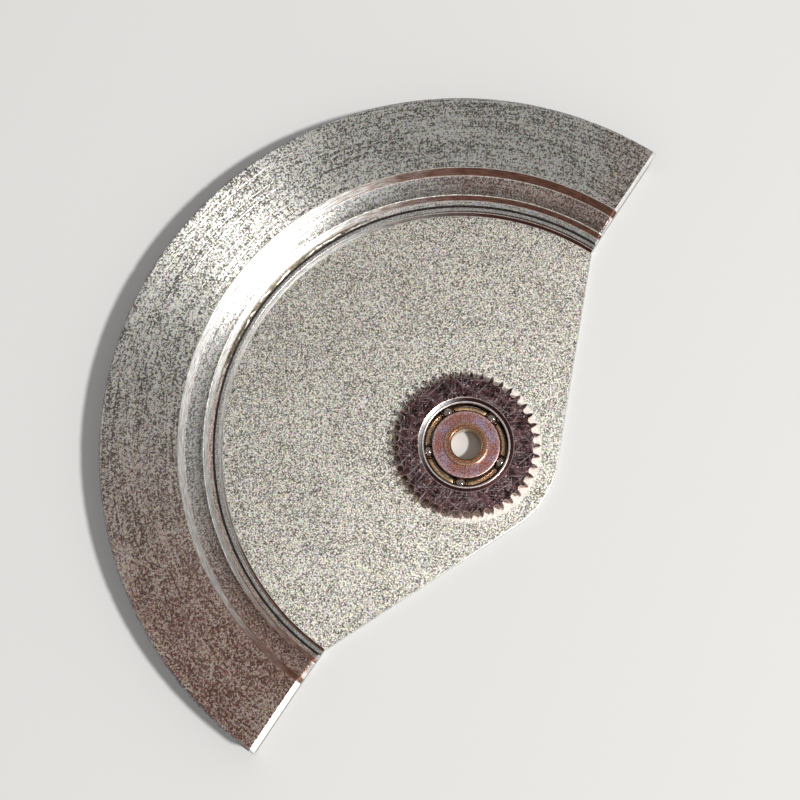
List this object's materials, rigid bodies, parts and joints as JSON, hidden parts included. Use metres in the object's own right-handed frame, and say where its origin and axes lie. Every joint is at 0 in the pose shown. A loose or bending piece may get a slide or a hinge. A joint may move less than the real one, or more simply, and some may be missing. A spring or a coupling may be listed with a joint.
{
  "type": "automatic watch rotor",
  "caption": "Half-disc winding rotor of a self-winding watch: stepped heavy weight on a thin plate, with a toothed wheel around a caged ball bearing.",
  "frame": {"origin": "on the bearing axis, in the plane of the core's seat face, where the rotor meets the automatic bridge", "axes": "+Z along the bearing axis out of the movement side, which faces up as the rotor is stored; +Y through the middle of the weight; +X along the straight cut"},
  "size_m": [0.025, 0.0158, 0.0016],
  "materials": {
    "weight_metal": "turned heavy metal, satin",
    "plate_nickel": "blasted nickel, matte",
    "gear_steel": "dark ground steel, satin",
    "ring_steel": "polished",
    "core_steel": "heat-tinted steel, satin",
    "cage_brass": "satin",
    "ball_steel": "polished"
  },
  "bodies": {
    "inner_race": {"bearing_core": "core_steel", "bearing_cone": "core_steel"},
    "rotor": {"heavy_segment": "weight_metal", "rotor_plate": "plate_nickel", "winding_gear": "gear_steel", "bearing_outer_ring": "ring_steel"},
    "cage": {"ball_cage": "cage_brass"},
    "ball_1": {"ball_1": "ball_steel"},
    "ball_2": {"ball_2": "ball_steel"},
    "ball_3": {"ball_3": "ball_steel"},
    "ball_4": {"ball_4": "ball_steel"},
    "ball_5": {"ball_5": "ball_steel"}
  },
  "joints": [
    {"name": "rotor_spin", "type": "hinge", "parent": "inner_race", "child": "rotor", "pos_m": [0, 0, -0.00031], "axis": [0, 0, 1], "continuous": true},
    {"name": "cage_spin", "type": "hinge", "parent": "inner_race", "child": "cage", "pos_m": [0, 0, -0.00031], "axis": [0, 0, 1], "continuous": true},
    {"name": "ball_1_spin", "type": "hinge", "parent": "cage", "child": "ball_1", "pos_m": [0.00131, -0.00024, -0.00031], "axis": [0, 0, 1], "continuous": true},
    {"name": "ball_2_spin", "type": "hinge", "parent": "cage", "child": "ball_2", "pos_m": [0.00063, 0.00117, -0.00031], "axis": [0, 0, 1], "continuous": true},
    {"name": "ball_3_spin", "type": "hinge", "parent": "cage", "child": "ball_3", "pos_m": [-0.00092, 0.00096, -0.00031], "axis": [0, 0, 1], "continuous": true},
    {"name": "ball_4_spin", "type": "hinge", "parent": "cage", "child": "ball_4", "pos_m": [-0.0012, -0.00057, -0.00031], "axis": [0, 0, 1], "continuous": true},
    {"name": "ball_5_spin", "type": "hinge", "parent": "cage", "child": "ball_5", "pos_m": [0.00017, -0.00132, -0.00031], "axis": [0, 0, 1], "continuous": true}
  ],
  "couplings": [
    {"joint": "cage_spin", "follows": "rotor_spin", "ratio": 0.56114},
    {"joint": "ball_1_spin", "follows": "rotor_spin", "ratio": 4.0278},
    {"joint": "ball_2_spin", "follows": "rotor_spin", "ratio": 4.0278},
    {"joint": "ball_3_spin", "follows": "rotor_spin", "ratio": 4.0278},
    {"joint": "ball_4_spin", "follows": "rotor_spin", "ratio": 4.0278},
    {"joint": "ball_5_spin", "follows": "rotor_spin", "ratio": 4.0278}
  ]
}
